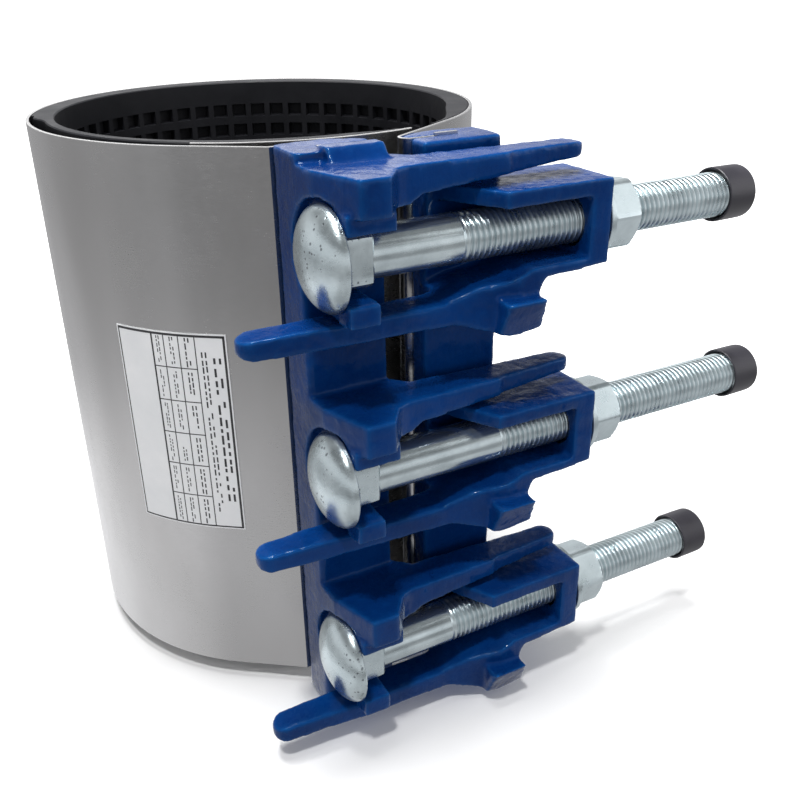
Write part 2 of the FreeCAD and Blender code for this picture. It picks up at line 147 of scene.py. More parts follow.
def lathe(name, profile, z, steps=96, closed=False):
    """A profile of (x, radius) points turned about a bolt's axis."""
    verts = []
    for x, r in profile:
        for k in range(steps):
            a = 2 * math.pi * k / steps
            verts.append((x, BOLT_Y + r * math.cos(a), z + r * math.sin(a)))
    return new_object(name, verts, join_rings(len(profile), steps, closed))


def rounded(points, radius, steps=4):
    """Corners of an (x, r) outline rounded by short arcs."""
    out = []
    n = len(points)
    for i in range(n):
        p = np.array(points[i], float)
        if i in (0, n - 1):
            out.append(tuple(p))
            continue
        a, b = np.array(points[i - 1], float), np.array(points[i + 1], float)
        u, v = a - p, b - p
        ru = min(radius, np.linalg.norm(u) * 0.45)
        rv = min(radius, np.linalg.norm(v) * 0.45)
        s, e = p + u / np.linalg.norm(u) * ru, p + v / np.linalg.norm(v) * rv
        for t in np.linspace(0, 1, steps + 1):
            out.append(tuple((1 - t) ** 2 * s + 2 * t * (1 - t) * p + t ** 2 * e))
    return out


def polar(radius, degrees):
    return radius * math.cos(math.radians(degrees)), radius * math.sin(math.radians(degrees))


def arc(centre, radius, start, end, step=1.0):
    """Points along an arc, about a step of degrees apart."""
    count = max(2, int(abs(end - start) / step) + 1)
    angles = np.radians(np.linspace(start, end, count))
    return [(centre[0] + radius * math.cos(a), centre[1] + radius * math.sin(a)) for a in angles]


def clean(points):
    """Neighbours that fall on one place become one point."""
    out = [points[0]]
    for p in points[1:]:
        if math.dist(p, out[-1]) > 1e-3:
            out.append(p)
    return out


def divide(points, longest):
    """Long straight runs cut into shorter ones."""
    out = [points[0]]
    for a, b in zip(points, points[1:]):
        n = max(1, math.ceil(math.dist(a, b) / longest))
        out += [(a[0] + (b[0] - a[0]) * k / n, a[1] + (b[1] - a[1]) * k / n) for k in range(1, n + 1)]
    return out


def sheet(name, points, thickness, z_low=-HALF, z_high=HALF, edge=0.25, longest=4.0):
    """A bent sheet on a centreline, with softened long edges."""
    pts = np.array(divide(clean(points), longest))
    tangent = np.gradient(pts, axis=0)
    tangent /= np.linalg.norm(tangent, axis=1)[:, None]
    normal = np.stack([-tangent[:, 1], tangent[:, 0]], 1)
    h = thickness / 2
    cut = edge * 0.3              # how far a rounded edge's middle stands in from the square corner
    ring = [(h, z_low + edge), (h, z_high - edge), (h - cut, z_high - cut), (h - edge, z_high),
            (edge - h, z_high), (cut - h, z_high - cut), (-h, z_high - edge), (-h, z_low + edge),
            (cut - h, z_low + cut), (edge - h, z_low), (h - edge, z_low), (h - cut, z_low + cut)]
    verts = []
    for p, q in zip(pts, normal):
        for off, z in ring:
            verts.append((p[0] + q[0] * off, p[1] + q[1] * off, z))
    return new_object(name, verts, join_rings(len(pts), len(ring)), 30)


def tangent_touch(point, centre, radius, sign):
    """Where a straight line from a point touches a circle, and the angle there in degrees."""
    dx, dy = point[0] - centre[0], point[1] - centre[1]
    reach = math.hypot(dx, dy)
    a = math.atan2(dy, dx) + sign * math.acos(radius / reach)
    return (centre[0] + radius * math.cos(a), centre[1] + radius * math.sin(a)), math.degrees(a)


# ---- materials ----

class Nodes:
    """Wires one procedural material. Noise scales count per metre, and bump distances are metres."""

    def __init__(self, name):
        self.material = bpy.data.materials.new(name)
        self.material.use_nodes = True
        self.tree = self.material.node_tree
        self.tree.nodes.clear()
        self.output = self.add("ShaderNodeOutputMaterial")
        self.shader = self.add("ShaderNodeBsdfPrincipled")
        self.tree.links.new(self.shader.outputs[0], self.output.inputs[0])
        self.place = self.add("ShaderNodeTexCoord").outputs["Object"]

    def add(self, kind, **values):
        node = self.tree.nodes.new(kind)
        for key, value in values.items():
            setattr(node, key, value)
        return node

    def link(self, a, b):
        self.tree.links.new(a, b)

    def mapped(self, scale):
        node = self.add("ShaderNodeMapping")
        node.inputs["Scale"].default_value = scale
        self.link(self.place, node.inputs["Vector"])
        return node.outputs[0]

    def noise(self, scale, detail=4.0, rough=0.55, stretch=(1, 1, 1)):
        node = self.add("ShaderNodeTexNoise")
        node.inputs["Scale"].default_value = scale
        node.inputs["Detail"].default_value = detail
        node.inputs["Roughness"].default_value = rough
        self.link(self.mapped(stretch), node.inputs["Vector"])
        return node.outputs["Fac"]

    def voronoi(self, scale):
        node = self.add("ShaderNodeTexVoronoi")
        node.inputs["Scale"].default_value = scale
        self.link(self.place, node.inputs["Vector"])
        return node.outputs["Distance"]

    def ramp(self, source, stops):
        node = self.add("ShaderNodeValToRGB")
        ramp = node.color_ramp
        while len(ramp.elements) < len(stops):
            ramp.elements.new(0.5)
        for element, (at, colour) in zip(ramp.elements, stops):
            element.position = at
            element.color = (*colour, 1.0) if len(colour) == 3 else colour
        self.link(source, node.inputs[0])
        return node.outputs[0]

    def remap(self, source, low, high, a=0.3, b=0.7):
        """Values from a to b become values from low to high."""
        node = self.add("ShaderNodeMapRange")
        node.inputs["From Min"].default_value = a
        node.inputs["From Max"].default_value = b
        node.inputs["To Min"].default_value = low
        node.inputs["To Max"].default_value = high
        self.link(source, node.inputs["Value"])
        return node.outputs[0]

    def math(self, operation, a, b=None, value=0.0):
        node = self.add("ShaderNodeMath", operation=operation)
        self.link(a, node.inputs[0])
        if b is None:
            node.inputs[1].default_value = value
        else:
            self.link(b, node.inputs[1])
        return node.outputs[0]

    def bump(self, height, strength, distance, before=None):
        """A bump laid over the one before it."""
        node = self.add("ShaderNodeBump")
        node.inputs["Strength"].default_value = strength
        node.inputs["Distance"].default_value = distance
        self.link(height, node.inputs["Height"])
        if before is not None:
            self.link(before, node.inputs["Normal"])
        return node.outputs[0]

    def colour(self, out):
        self.link(out, self.shader.inputs["Base Color"])

    def roughness(self, out):
        self.link(out, self.shader.inputs["Roughness"])

    def normal(self, out):
        self.link(out, self.shader.inputs["Normal"])


def stainless():
    m = Nodes("stainless_sheet")
    m.shader.inputs["Metallic"].default_value = 1.0
    m.shader.inputs["Anisotropic"].default_value = 0.35
    grain = m.noise(1500.0, 3.0, 0.6, (0.25, 0.25, 1.0))
    broad = m.noise(14.0, 4.0, 0.5, (1.0, 1.0, 0.35))
    smear = m.noise(45.0, 5.0, 0.6, (1.0, 1.0, 0.5))
    m.colour(m.ramp(broad, [(0.3, (0.45, 0.445, 0.44)), (0.7, (0.55, 0.55, 0.55))]))
    m.roughness(m.math("ADD", m.remap(smear, 0.17, 0.25), m.remap(grain, 0.0, 0.06)))
    first = m.bump(grain, 0.05, 0.00003)
    m.normal(m.bump(broad, 0.10, 0.0006, first))
    return m.material


def epoxy_blue():
    """Thick glossy epoxy over a sand casting: darker and lighter areas, a painted highlight on the
    edges, upright runs.
    """
    m = Nodes("blue_epoxy")
    broad = m.noise(28.0, 5.0, 0.55)
    skin = m.noise(330.0, 3.0, 0.5)
    runs = m.noise(420.0, 3.0, 0.55, (1.0, 1.0, 0.16))
    grain = m.noise(1100.0, 2.0, 0.5)
    tint = m.ramp(broad, [(0.30, (0.0006, 0.0180, 0.104)), (0.72, (0.0012, 0.0400, 0.196))])
    # convex edges are painted a lighter blue: a painted highlight along them
    painted_edge_highlight = m.add("ShaderNodeMix", data_type="RGBA")
    edge = m.add("ShaderNodeNewGeometry").outputs["Pointiness"]
    m.link(m.remap(edge, 0.0, 0.75, 0.50, 0.58), painted_edge_highlight.inputs["Factor"])
    m.link(tint, painted_edge_highlight.inputs["A"])
    painted_edge_highlight.inputs["B"].default_value = (0.006, 0.090, 0.300, 1.0)
    m.colour(painted_edge_highlight.outputs["Result"])
    m.roughness(m.remap(skin, 0.20, 0.36))
    m.shader.inputs["Specular IOR Level"].default_value = 0.12
    m.shader.inputs["Specular Tint"].default_value = (0.15, 0.55, 1.0, 1.0)
    m.shader.inputs["Coat Weight"].default_value = 0.20
    m.shader.inputs["Coat Roughness"].default_value = 0.05
    first = m.bump(grain, 0.18, 0.00014)
    second = m.bump(runs, 0.40, 0.00045, first)
    third = m.bump(skin, 0.30, 0.00050, second)
    last = m.bump(broad, 0.35, 0.0014, third)
    m.normal(last)
    m.link(last, m.shader.inputs["Coat Normal"])
    return m.material


def zinc(name, kind):
    """Zinc plate over a pitted forged head, a drawn shank with streaks along it, or turned work."""
    m = Nodes(name)
    m.shader.inputs["Metallic"].default_value = 0.92
    spangle = m.noise(110.0, 5.0, 0.6)
    fine = m.noise(700.0, 3.0, 0.6)
    plate = m.ramp(spangle, [(0.28, (0.46, 0.535, 0.56)), (0.72, (0.67, 0.76, 0.785))])
    if kind == "drawn":
        streak = m.noise(1000.0, 4.0, 0.6, (0.05, 1.0, 1.0))
        m.roughness(m.remap(streak, 0.14, 0.30))
        first = m.bump(streak, 0.30, 0.00008, m.bump(fine, 0.08, 0.00006))
    elif kind == "forged":
        m.roughness(m.remap(spangle, 0.20, 0.36))
        dents = m.noise(150.0, 4.0, 0.6)
        sparse = m.remap(m.noise(90.0, 2.0, 0.5), -0.10, 0.17, 0.42, 0.62)
        reach = m.math("SUBTRACT", m.voronoi(560.0), sparse)
        pits = m.ramp(reach, [(0.02, (0, 0, 0)), (0.10, (1, 1, 1))])
        dark = m.add("ShaderNodeMix", data_type="RGBA")
        m.link(pits, dark.inputs["Factor"])
        dark.inputs["A"].default_value = (0.22, 0.25, 0.27, 1.0)
        m.link(plate, dark.inputs["B"])
        plate = dark.outputs["Result"]
        first = m.bump(pits, 0.30, 0.00022, m.bump(fine, 0.12, 0.00010))
        first = m.bump(dents, 0.30, 0.0006, first)
    else:
        m.roughness(m.remap(spangle, 0.24, 0.38))
        first = m.bump(fine, 0.03, 0.00003)
    m.colour(plate)
    m.normal(first)
    return m.material


def rubber():
    m = Nodes("waffle_rubber")
    mottle = m.noise(60.0, 4.0, 0.6)
    fine = m.noise(1400.0, 3.0, 0.6)
    m.shader.inputs["Specular IOR Level"].default_value = 0.25
    m.colour(m.ramp(mottle, [(0.3, (0.007, 0.0075, 0.010)), (0.7, (0.014, 0.0145, 0.018))]))
    m.roughness(m.remap(mottle, 0.50, 0.68))
    m.normal(m.bump(fine, 0.25, 0.00015, m.bump(mottle, 0.1, 0.0004)))
    return m.material


def cap_plastic():
    m = Nodes("cap_plastic")
    mottle = m.noise(80.0, 4.0, 0.5)
    fine = m.noise(1500.0, 2.0, 0.5)
    m.colour(m.ramp(mottle, [(0.3, (0.022, 0.021, 0.028)), (0.7, (0.038, 0.036, 0.046))]))
    m.roughness(m.remap(mottle, 0.38, 0.52))
    m.normal(m.bump(fine, 0.2, 0.00012))
    return m.material


def label_film():
    """Silver film with a worn print surface. The ruled lines are separate pieces."""
    m = Nodes("label_film")
    wear = m.noise(70.0, 5.0, 0.6)
    m.colour(m.ramp(wear, [(0.3, (0.86, 0.875, 0.885)), (0.75, (0.95, 0.955, 0.96))]))
    m.roughness(m.remap(wear, 0.30, 0.42))
    m.normal(m.bump(wear, 0.08, 0.0003))
    return m.material


def ink():
    m = Nodes("label_ink")
    wear = m.noise(400.0, 3.0, 0.6)
    m.colour(m.ramp(wear, [(0.3, (0.012, 0.012, 0.014)), (0.8, (0.05, 0.05, 0.055))]))
    m.roughness(m.remap(wear, 0.45, 0.6))
    return m.material


STAINLESS = stainless()
BLUE = epoxy_blue()
ZINC_HEAD = zinc("zinc_forged", "forged")
ZINC_SHANK = zinc("zinc_drawn", "drawn")
ZINC = zinc("zinc_turned", "turned")
RUBBER = rubber()
CAP = cap_plastic()
FILM = label_film()
INK = ink()


# ---- band: the fold and front on each jaw, and a back half that curves round the ring between them ----

head_nose = (GAP_X - NOSE_OFFSET, NOSE_Y)
nut_nose = (GAP_X + NOSE_OFFSET, NOSE_Y)
off_face = BAND_T / 2 + SKIN_GAP
lie = JAW_BACK + off_face
slot_y = NOSE_Y - FOLD_R

# head side: off the ring straight to the face that it lies on, along that, then round the nose
bar_bend = (GAP_X - BAR_BEND, JAW_BACK)
bar_touch = tangent_touch(bar_bend, head_nose, NOSE_R, -1)[0]
slope = abs(math.atan2(bar_touch[1] - bar_bend[1], bar_touch[0] - bar_bend[0]))
bend = (bar_bend[0] + off_face * math.tan(slope / 2), lie)
touch_angle = (tangent_touch(bend, head_nose, FOLD_R, -1)[1] + 360) % 360

LEAVE = -126.0                # degrees, where the sheet leaves the ring
leave_at = polar(BAND_R, LEAVE)
run = polar(1.0, LEAVE + 90)
corner = (leave_at[0] + run[0] * (lie - leave_at[1]) / run[1], lie)

# nut side: off the ring on a straight line that also touches the fold
nut_reach = math.hypot(*nut_nose)
nut_turn = math.acos((BAND_R + FOLD_R) / nut_reach)
nut_leave = math.degrees(math.atan2(nut_nose[1], nut_nose[0]) + nut_turn)

left = [(GAP_X - FOLD_END, slot_y)] + arc(head_nose, FOLD_R, -90, touch_angle, 8)
left += [bend, corner] + arc((0, 0), BAND_R, LEAVE, -180, 1)
back = arc((0, 0), BAND_R, 180, 0, 1)
right = arc((0, 0), BAND_R, 0, nut_leave, 1)
right += arc(nut_nose, FOLD_R, nut_leave + 180, 270, 8) + [(GAP_X + FOLD_END, slot_y)]

band_head = dress(sheet("band_head_side", left, BAND_T), STAINLESS)
band_back = dress(sheet("band_back", back, BAND_T), STAINLESS)
band_nut = dress(sheet("band_nut_side", right, BAND_T), STAINLESS)
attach(band_head, "clamp")
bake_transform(band_back)
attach(band_nut, "moving_jaw")
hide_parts("band")


# ---- bridge plate ----

PLATE_START, PLATE_END = -125.0, -71.0        # degrees
PLATE_R = 76.6                # middle of the sheet over the tongue
PLATE_RISE = 3.0              # outward, by the nut side's end
PLATE_T = 1.2


def plate_radius(a):
    share = min(max((a - PLATE_START) / (PLATE_END - PLATE_START), 0.0), 1.0)
    return PLATE_R + PLATE_RISE * share ** 1.6


plate_line = [polar(plate_radius(a), a) for a in np.linspace(PLATE_START, PLATE_END, 55)]
plate = dress(sheet("bridge_plate_sheet", plate_line, PLATE_T), STAINLESS)
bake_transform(plate)
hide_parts("bridge_plate")


# ---- gasket with square pockets on its inner face ----

# where things are round the pipe, in degrees
THIN_END, THIN_UNTIL = -64.0, -34.0           # the thick part's tapered end
TONGUE_START, TONGUE_END = 166.0, 286.0
STEP_AT, STEP_UNTIL = 168.0, 176.0            # the outside steps in to the tongue's own
TIP_FROM = 272.0              # the tip begins to thin
# sizes in millimetres
THIN_T = 0.8                  # left at the tapered end
STEP_BACK = 1.0               # how far in the tongue's outside starts
TONGUE_T = 4.05
TIP_LOSS = 2.85               # how much thinner the tongue is at its tip
ROWS = 21                     # pockets along the pipe
FIRST_ROW = 90.5              # top of the first row
ROW_PITCH = 8.65
COLUMN_PITCH = 8.4            # round the bore
POCKET_HEIGHT = 5.4
POCKET_WIDTH = 6.1
POCKET_DEPTH = 3.0
TONGUE_POCKET_DEPTH = 1.6
POCKET_DRAFT = 0.5            # how far each wall of a pocket leans in
LEAST_BEHIND = 1.2            # least rubber behind a pocket's floor
SOFT_EDGE = 0.4               # rounding of the long rims


def smooth(value, low, high):
    s = min(max((value - low) / (high - low), 0.0), 1.0)
    return s * s * (3 - 2 * s)


def under_plate(a):
    return plate_radius(a - 360.0) - (PLATE_T / 2 + SKIN_GAP)


def body_inner(a):
    return BORE_R + (GASKET_R - THIN_T - BORE_R) * (1 - smooth(a, THIN_END, THIN_UNTIL))


def tongue_outer(a):
    before = GASKET_R - STEP_BACK
    return before + (under_plate(a) - before) * smooth(a, STEP_AT, STEP_UNTIL)


def tongue_inner(a):
    thick = TONGUE_T - TIP_LOSS * smooth(a, TIP_FROM, TONGUE_END)
    return max(BORE_R, under_plate(a) - thick)


def gasket_piece(name, start, end, outer_at, inner_at, depth):
    """A stretch of the gasket. Columns of pockets run along it wherever there is room for them."""
    count = max(1, round(math.radians(end - start) * BORE_R / COLUMN_PITCH))
    step = (end - start) / count
    gap = step * (1 - POCKET_WIDTH / COLUMN_PITCH) / 2
    edges_a = []
    for k in range(count):
        a0 = start + k * step
        edges_a += [a0, a0 + gap, a0 + step / 2, a0 + step - gap]
    edges_a.append(end)
    heights = [-HALF + SOFT_EDGE]
    for r in range(ROWS - 1, -1, -1):
        top = FIRST_ROW - r * ROW_PITCH
        heights += [top - POCKET_HEIGHT, top]
    heights.append(HALF - SOFT_EDGE)
    pocket_rows = range(1, len(heights) - 1, 2)
    na, nz = len(edges_a), len(heights)
    verts, faces = [], []

    def put(a, r, z):
        verts.append((*polar(r, a), z))
        return len(verts) - 1

    def roomy(i):
        """Whether the cell between two edges is thick enough for a pocket."""
        thick = min(outer_at(a) - inner_at(a) for a in edges_a[i:i + 2])
        return thick > depth + LEAST_BEHIND

    def pocket(first, last, j):
        """Four leaning walls and a floor, in the opening between two edges and two heights."""
        lean = math.degrees(POCKET_DRAFT / BORE_R)
        low, high = heights[j] + POCKET_DRAFT, heights[j + 1] - POCKET_DRAFT
        floor = {}
        for c in range(first, last + 1):
            a = edges_a[c] + lean * ((c == first) - (c == last))
            r = inner_at(edges_a[c]) + depth
            floor[c] = (put(a, r, low), put(a, r, high))
        for c in range(first, last):
            faces.append((floor[c][0], floor[c][1], floor[c + 1][1], floor[c + 1][0]))
            faces.append((face_v[c][j], floor[c][0], floor[c + 1][0], face_v[c + 1][j]))
            faces.append((floor[c][1], face_v[c][j + 1], face_v[c + 1][j + 1], floor[c + 1][1]))
        faces.append((face_v[first][j], face_v[first][j + 1], floor[first][1], floor[first][0]))
        faces.append((floor[last][0], floor[last][1], face_v[last][j + 1], face_v[last][j]))

    face_v = [[put(a, inner_at(a), z) for z in heights] for a in edges_a]
    for i in range(na - 1):
        open_cell = i % 4 in (1, 2) and roomy(i)
        for j in range(nz - 1):
            if open_cell and j in pocket_rows:
                continue
            faces.append((face_v[i][j], face_v[i][j + 1], face_v[i + 1][j + 1], face_v[i + 1][j]))
    for k in range(count):
        cells = [c for c in (4 * k + 1, 4 * k + 2) if roomy(c)]
        if cells:
            for j in pocket_rows:
                pocket(cells[0], cells[-1] + 1, j)
    rim = []
    for a in edges_a:
        ri, ro = inner_at(a), outer_at(a)
        soft = min(SOFT_EDGE, (ro - ri) * 0.25)
        outline = [(ri + soft, HALF), (ro - soft, HALF), (ro, HALF - SOFT_EDGE),
                   (ro, SOFT_EDGE - HALF), (ro - soft, -HALF), (ri + soft, -HALF)]
        rim.append([put(a, r, z) for r, z in outline])
    loops = [[face_v[i][-1]] + rim[i] + [face_v[i][0]] for i in range(na)]
    for i in range(na - 1):
        for k in range(len(loops[i]) - 1):
            faces.append((loops[i][k], loops[i][k + 1], loops[i + 1][k + 1], loops[i + 1][k]))
    for i in (0, na - 1):
        ring = loops[i] + face_v[i][1:-1]
        faces.append(tuple(ring if i else ring[::-1]))
    return new_object(name, verts, faces, 40)


gasket_nut = gasket_piece("gasket_nut_side", THIN_END, 0.0,
                          lambda a: GASKET_R, body_inner, POCKET_DEPTH)
gasket_back = gasket_piece("gasket_back", 0.0, TONGUE_START,
                           lambda a: GASKET_R, lambda a: BORE_R, POCKET_DEPTH)
gasket_tongue = gasket_piece("gasket_tongue", TONGUE_START, TONGUE_END,
                             tongue_outer, tongue_inner, TONGUE_POCKET_DEPTH)
for piece in (gasket_nut, gasket_back, gasket_tongue):
    dress(piece, RUBBER)
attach(gasket_nut, "moving_jaw")
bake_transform(gasket_back)
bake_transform(gasket_tongue)
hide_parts("gasket")


# ---- castings: the CAD shape with its edges rounded as a sand casting's are ----

SLOT_START = 5.0              # from the gap's middle
SLOT_FRONT, SLOT_REAR = 0.78, 0.72            # to each side of the folded sheet's middle
SLOT_ENDS = ((-112.0, -92.0), (92.0, 108.0))  # heights over which each end is cut clear
VOXEL = 0.0007      # metres, as every length given to a modifier
SOFTENING = 7            # rounds of smoothing


def slot_cutter(name, side):
    """Both open ends of the slot that takes the band's fold, which the remesh closes."""
    near, far = sorted((GAP_X + side * SLOT_START, GAP_X + side * (SLOT_END + SKIN_GAP)))
    front, rear = slot_y - SLOT_FRONT, slot_y + SLOT_REAR
    verts, faces = [], []
    for low, high in SLOT_ENDS:
        n = len(verts)
        verts += [(x, y, z) for x in (near, far) for y in (front, rear) for z in (low, high)]
        faces += [tuple(n + k for k in f) for f in
                  ((0, 1, 3, 2), (4, 6, 7, 5), (0, 4, 5, 1), (2, 3, 7, 6), (0, 2, 6, 4), (1, 5, 7, 3))]
    return new_object(name + "_slot", verts, faces)


def roughen(obj, name, scale, strength, depth=2, middle=0.5):
    """A cloud texture pushes the surface in and out."""
    cloud = bpy.data.textures.new(obj.name + "_" + name, "CLOUDS")
    cloud.noise_scale = scale
    cloud.noise_depth = depth
    push = obj.modifiers.new(name, "DISPLACE")
    push.texture = cloud
    push.texture_coords = "LOCAL"
    push.strength = strength
    push.mid_level = middle


def bake(obj):
    """What the modifiers make becomes the object's own mesh."""
    graph = bpy.context.evaluated_depsgraph_get()
    mesh = bpy.data.meshes.new_from_object(obj.evaluated_get(graph))
    obj.modifiers.clear()
    obj.data = mesh


def casting(node, name, body, side):
    obj = bpy.data.objects.new(name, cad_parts[node].data.copy())
    bpy.context.scene.collection.objects.link(obj)
    grid = obj.modifiers.new("grid", "REMESH")
    grid.mode = "VOXEL"
    grid.voxel_size = VOXEL
    soften = obj.modifiers.new("soften", "SMOOTH")
    soften.factor = 0.5
    soften.iterations = SOFTENING
    roughen(obj, "lumps", 0.009, 0.0005, depth=3, middle=0.62)
    roughen(obj, "grains", 0.0022, 0.00022)
    thin = obj.modifiers.new("thin", "DECIMATE")
    thin.ratio = 0.45
    bake(obj)
    cutter = slot_cutter(name, side)
    slot = obj.modifiers.new("slot", "BOOLEAN")
    slot.operation = "DIFFERENCE"
    slot.solver = "EXACT"
    slot.object = cutter
    bake(obj)
    bpy.data.objects.remove(cutter)
    obj.data.polygons.foreach_set("use_smooth", [True] * len(obj.data.polygons))
    obj.data.set_sharp_from_angle(angle=math.radians(50))
    dress(obj, BLUE)
    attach(obj, body)
    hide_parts(node)


casting("head_jaw", "head_jaw_casting", "clamp", -1)
casting("nut_jaw", "nut_jaw_casting", "moving_jaw", 1)

# the fold keys are shown as the CAD draws them
for node in ("head_fold_key", "nut_fold_key"):
    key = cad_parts[node]
    key.data.materials.clear()
    key.data.materials.append(STAINLESS)


# ---- bolts ----

CROWN_HEIGHT = 7.6
RIM_HEIGHT = 1.2              # straight part of the head's edge
NECK_HALF = 8.0               # half the square neck's width
THREAD_DEPTH = 1.15
RUN_OUT = 3.0                 # over which the thread fades into the shank
POINT = 1.5                   # length of the chamfer at the bolt's end
POINT_LOSS = 1.3              # how much radius it takes off
SHANK_IN_HEAD = 0.5           # how far the shank runs into the head
CENTRE = 0.05                 # radius that stands for a point on the axis


def bolt_head(station, z):
    """A low crown over a short straight rim, and the flat face that pulls on the jaw."""
    crown = []
    for t in np.linspace(0, math.pi / 2, 22):
        x = HEAD_FACE - RIM_HEIGHT - CROWN_HEIGHT * math.cos(t) ** 1.15
        crown.append((x, max(HEAD_R * math.sin(t), CENTRE)))
    rim = [(HEAD_FACE - 0.5, HEAD_R), (HEAD_FACE - 0.1, HEAD_R - 0.3), (HEAD_FACE, HEAD_R - 0.8),
           (HEAD_FACE, 7.0)]
    return dress(lathe("bolt_head_" + station, crown + rim, z), ZINC_HEAD)


def bolt_shank(station, z):
    start, end = HEAD_FACE - SHANK_IN_HEAD, THREAD_START[station] + 0.02
    profile = [(start, 6.5), (start, THREAD_R), (end, THREAD_R), (end, 5.0)]
    return dress(lathe("bolt_shank_" + station, profile, z), ZINC_SHANK)


def bolt_neck(station, z):
    """Square neck with soft corners, a little narrower at its far end."""
    around, power = 48, 9
    end = HEAD_FACE + NECK_LENGTH
    sections = [(HEAD_FACE - 0.2, NECK_HALF), (HEAD_FACE + 1.5, NECK_HALF), (end - 2.0, NECK_HALF),
                (end - 0.6, NECK_HALF - 0.1), (end, NECK_HALF - 0.6)]
    verts = []
    for x, half in sections:
        for k in range(around):
            a = 2 * math.pi * (k + 0.5) / around
            c, s = math.cos(a), math.sin(a)
            r = half / (abs(c) ** power + abs(s) ** power) ** (1 / power)
            verts.append((x, BOLT_Y + r * c, z + r * s))
    neck = new_object("bolt_neck_" + station, verts, join_rings(len(sections), around), 30)
    return dress(neck, ZINC_HEAD)


def bolt_thread(station, z):
    """A rolled thread whose grid follows the helix, so every crest is a clean line."""
    start, end = THREAD_START[station], BOLT_END[station]
    shape = [0.0, 0.30, 0.72, 1.0, 1.0, 0.72, 0.30, 0.0]      # one pitch, root to root
    around, per_pitch = 88, len(shape)
    rows = int((end - start) / PITCH * per_pitch) + 2 * per_pitch
    verts, faces = [], []
    for i in range(rows + 1):
        for k in range(around + 1):
            a = 2 * math.pi * k / around
            x = start - PITCH + (i / per_pitch + k / around) * PITCH
            fade = min(max((x - start) / RUN_OUT, 0.0), 1.0) * min(max((end - x) / POINT, 0.0), 1.0)
            x = min(max(x, start), end)
            r = THREAD_R - THREAD_DEPTH * (1 - shape[i % per_pitch]) * fade
            if end - x < POINT:
                r = min(r, THREAD_R - POINT_LOSS * (1 - (end - x) / POINT))
            verts.append((x, BOLT_Y + r * math.cos(a), z + r * math.sin(a)))
    n = around + 1
    for i in range(rows):
        for k in range(around):
            faces.append((i * n + k, i * n + k + 1, (i + 1) * n + k + 1, (i + 1) * n + k))
    return dress(new_object("bolt_thread_" + station, verts, faces, 180), ZINC)


def bolt_end(station, z):
    """The flat disc that closes the threaded end, just inside its chamfer."""
    flat, disc_r = BOLT_END[station] - 0.01, THREAD_R - POINT_LOSS - 0.05
    profile = [(BOLT_END[station] - 1.0, 5.2), (flat, disc_r), (flat, CENTRE)]
    return dress(lathe("bolt_end_" + station, profile, z, 64), ZINC)


for station, z in STATIONS.items():
    head = bolt_head(station, z)
    for piece in (head, bolt_shank(station, z), bolt_neck(station, z),
                  bolt_thread(station, z), bolt_end(station, z)):
        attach(piece, "clamp")
    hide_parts("bolt_" + station)


# ---- washers, nuts and caps ----

CHAMFER_SLOPE = math.tan(math.radians(30))


def washer(station, z):
    near, far, middle = END_PLATE, END_PLATE + WASHER_T, END_PLATE + WASHER_T / 2
    outline = [(middle, WASHER_HOLE_R), (near, WASHER_HOLE_R), (near, WASHER_R), (far, WASHER_R),
               (far, WASHER_HOLE_R), (middle, WASHER_HOLE_R)]
    ring = rounded(outline, 0.35)[:-1]
    return dress(lathe("flat_washer_" + station, ring, z, closed=True), ZINC)


def nut(station, z):
    """Rings from the bore's near mouth over the six flats to its far mouth, and back through it."""
    start = END_PLATE + WASHER_T
    around = 180
    face_r = NUT_FLATS / 2 * 0.985                # edge of the flat end face
    near_half = [0.0, 0.15, 0.4, 0.8, 1.2, 1.7, 3.0]
    heights = near_half + [NUT_HEIGHT / 2] + [NUT_HEIGHT - x for x in near_half[::-1]]
    # the bore opens a little at both mouths
    near_mouth, far_mouth = [(0.8, 8.4), (0.0, 9.0)], [(NUT_HEIGHT, 8.9), (NUT_HEIGHT - 0.8, 7.95)]

    def flats(angle):
        """Radius of the hexagon, with its six corners slightly worn."""
        a = (angle - math.radians(180 + CLOCK[station])) % (math.pi / 3) - math.pi / 6
        worn = 0.35 * smooth(abs(a), math.radians(24), math.radians(30))
        return NUT_FLATS / 2 / math.cos(a) - worn

    rings = near_mouth + [(x, None) for x in heights] + far_mouth
    verts = []
    for x, fixed in rings:
        for k in range(around):
            a = 2 * math.pi * k / around
            chamfer = face_r + min(x, NUT_HEIGHT - x) / CHAMFER_SLOPE * 0.95
            r = fixed or min(flats(a), chamfer)
            verts.append((start + x, BOLT_Y + r * math.cos(a), z + r * math.sin(a)))
    body = new_object("hex_nut_" + station, verts, join_rings(len(rings), around, closed=True), 24)
    return dress(body, ZINC)


def cap(station, z):
    """A cup over the bolt's end: bore, lip, side, rounded shoulder and flat end."""
    tip = BOLT_END[station] + CAP_AHEAD
    mouth = tip - CAP_LENGTH
    floor_x = tip - CAP_WALL
    outline = [(floor_x, CENTRE), (floor_x, CAP_BORE_R), (mouth + 1.6, CAP_BORE_R),
               (mouth + 0.3, 8.75), (mouth, 8.95), (mouth, CAP_R - 0.2),
               (mouth + 0.15, CAP_R - 0.05), (mouth + 0.4, CAP_R)]
    outline += rounded([(tip - 4, CAP_R - 0.05), (tip, CAP_R - 0.15), (tip, 4.0)], 1.4, 6)
    outline.append((tip, CENTRE))
    return dress(lathe("end_cap_" + station, outline, z, 72), CAP)


for station, z in STATIONS.items():
    ring = washer(station, z)
    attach(ring, "moving_jaw")
    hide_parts("washer_" + station)
    piece = nut(station, z)
    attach(piece, station + "_nut")
    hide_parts("nut_" + station)
    cover = cap(station, z)
    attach(cover, station + "_cap")
    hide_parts("cap_" + station)


# ---- label: film, with the ruled frame of a blank table ----

